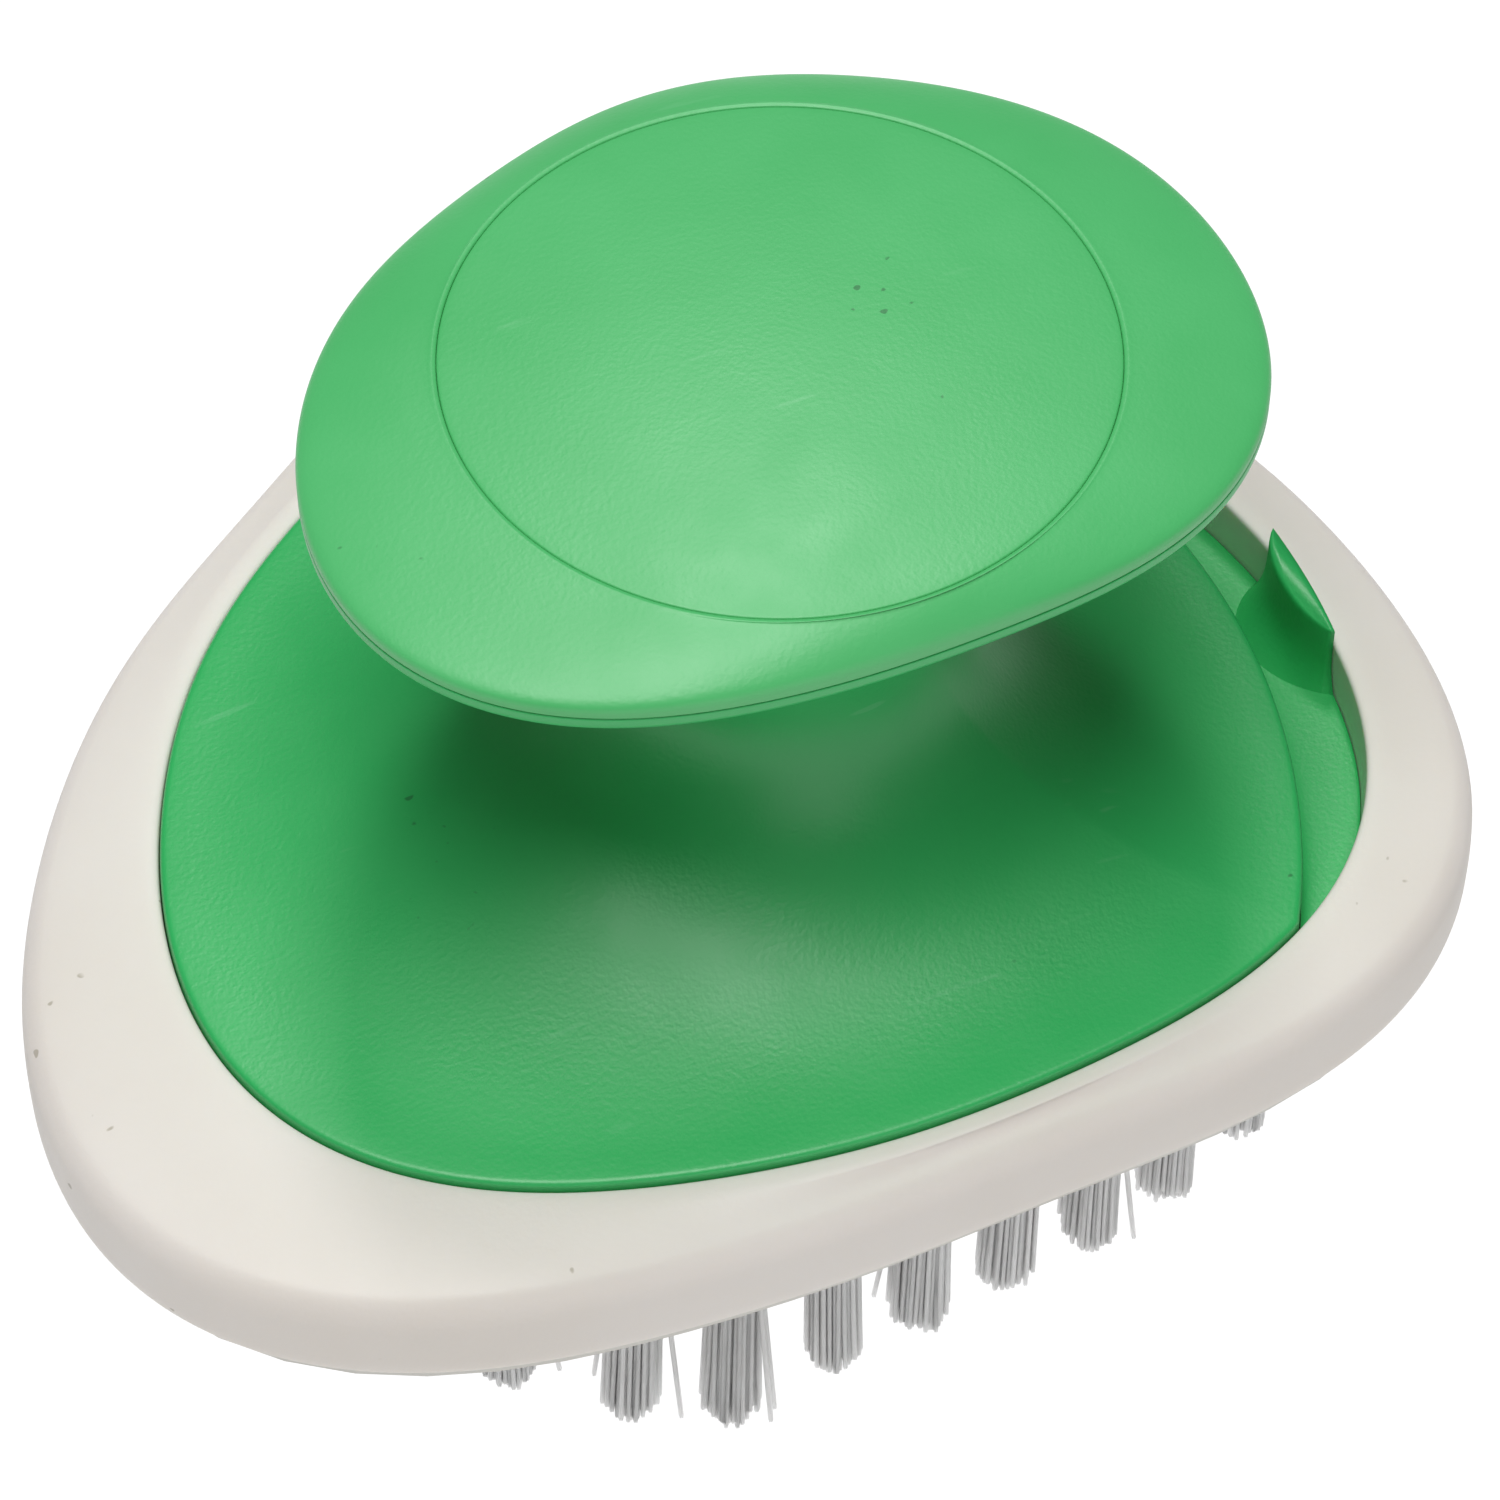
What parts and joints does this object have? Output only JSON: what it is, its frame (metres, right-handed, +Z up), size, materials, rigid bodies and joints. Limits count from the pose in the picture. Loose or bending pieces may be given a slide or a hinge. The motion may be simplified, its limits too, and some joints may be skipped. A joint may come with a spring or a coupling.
{
  "type": "vegetable brush",
  "caption": "Palm-held vegetable brush: waisted mushroom handle on a rounded triangular base with a soft bumper ring, a raised eye-remover fin and tufts of stiff bristles below.",
  "frame": {"origin": "on the plane of the bristle tips, under the middle of the bumper ring's outline", "axes": "+Z up from the tips to the knob, +X along the ring's long way towards the side with the fin, +Y to the back corner"},
  "size_m": [0.0861, 0.0724, 0.056],
  "materials": {
    "knob_green": "satin moulded plastic",
    "base_green": "semi-gloss moulded plastic",
    "white_bumper": "matt soft elastomer",
    "white_plate": "satin moulded plastic",
    "nylon_bristle": "drawn nylon filament",
    "staple_wire": "drawn flat wire"
  },
  "bodies": {
    "root": {"knob_cap": "knob_green", "grip_inlay": "knob_green", "handle_body": "base_green", "eye_remover": "base_green", "bumper_ring": "white_bumper", "bristle_plate": "white_plate", "tuft_staples": "staple_wire", "tuft_1": "nylon_bristle", "tuft_2": "nylon_bristle", "tuft_3": "nylon_bristle", "tuft_4": "nylon_bristle", "tuft_5": "nylon_bristle", "tuft_6": "nylon_bristle", "tuft_7": "nylon_bristle", "tuft_8": "nylon_bristle", "tuft_9": "nylon_bristle", "tuft_10": "nylon_bristle", "tuft_11": "nylon_bristle", "tuft_12": "nylon_bristle", "tuft_13": "nylon_bristle", "tuft_14": "nylon_bristle", "tuft_15": "nylon_bristle", "tuft_16": "nylon_bristle", "tuft_17": "nylon_bristle", "tuft_18": "nylon_bristle", "tuft_19": "nylon_bristle", "tuft_20": "nylon_bristle", "tuft_21": "nylon_bristle", "tuft_22": "nylon_bristle", "tuft_23": "nylon_bristle", "tuft_24": "nylon_bristle", "tuft_25": "nylon_bristle", "tuft_26": "nylon_bristle", "tuft_27": "nylon_bristle", "tuft_28": "nylon_bristle", "tuft_29": "nylon_bristle", "tuft_30": "nylon_bristle", "tuft_31": "nylon_bristle", "tuft_32": "nylon_bristle", "tuft_33": "nylon_bristle", "tufts_row_2": "nylon_bristle", "tufts_row_3": "nylon_bristle", "tufts_row_4": "nylon_bristle", "tufts_row_5": "nylon_bristle"}
  },
  "joints": []
}
